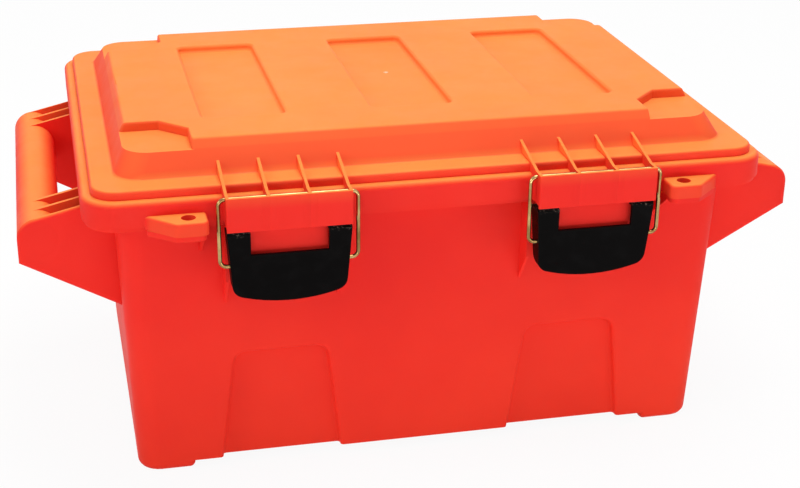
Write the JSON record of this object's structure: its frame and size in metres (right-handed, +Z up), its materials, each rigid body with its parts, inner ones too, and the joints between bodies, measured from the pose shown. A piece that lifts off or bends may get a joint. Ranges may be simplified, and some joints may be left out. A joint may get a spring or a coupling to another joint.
{
  "type": "lidded carry crate",
  "caption": "Rigid moulded carry crate with hinged lid, draw latches, padlock tabs and an open grip at each end.",
  "frame": {"origin": "on the ground, under the middle of the tub", "axes": "+X along the long side towards the right handle, +Y towards the hinges, +Z up; the latches face -Y"},
  "size_m": [0.5676, 0.39, 0.2505],
  "materials": {
    "orange_shell": "fine satin moulded polypropylene",
    "black_lever": "satin moulded nylon",
    "zinc_wire": "yellow zinc plated steel wire",
    "pin_steel": "plain drawn pin",
    "seal_rubber": "soft foam rubber"
  },
  "bodies": {
    "tub": {"tub": "orange_shell", "left_handle": "orange_shell", "right_handle": "orange_shell", "left_hinge_pin": "pin_steel", "right_hinge_pin": "pin_steel"},
    "lid": {"lid": "orange_shell", "lid_seal": "seal_rubber"},
    "left_bail": {"left_latch_bail": "zinc_wire"},
    "left_lever": {"left_latch_lever": "black_lever"},
    "right_bail": {"right_latch_bail": "zinc_wire"},
    "right_lever": {"right_latch_lever": "black_lever"}
  },
  "joints": [
    {"name": "lid_hinge", "type": "hinge", "parent": "tub", "child": "lid", "pos_m": [0, 0.189, 0.2065], "axis": [-1, 0, 0], "range_deg": [0, 105]},
    {"name": "left_bail_swing", "type": "hinge", "parent": "lid", "child": "left_bail", "pos_m": [-0.10626, -0.187, 0.2257], "axis": [-1, 0, 0], "range_deg": [0, 100]},
    {"name": "left_lever_turn", "type": "hinge", "parent": "left_bail", "child": "left_lever", "pos_m": [-0.10626, -0.187, 0.1782], "axis": [-1, 0, 0], "range_deg": [0, 90]},
    {"name": "right_bail_swing", "type": "hinge", "parent": "lid", "child": "right_bail", "pos_m": [0.10626, -0.187, 0.2257], "axis": [-1, 0, 0], "range_deg": [0, 100]},
    {"name": "right_lever_turn", "type": "hinge", "parent": "right_bail", "child": "right_lever", "pos_m": [0.10626, -0.187, 0.1782], "axis": [-1, 0, 0], "range_deg": [0, 90]}
  ],
  "couplings": [
    {"joint": "left_lever_turn", "follows": "left_bail_swing", "ratio": 0.9},
    {"joint": "right_lever_turn", "follows": "right_bail_swing", "ratio": 0.9}
  ]
}
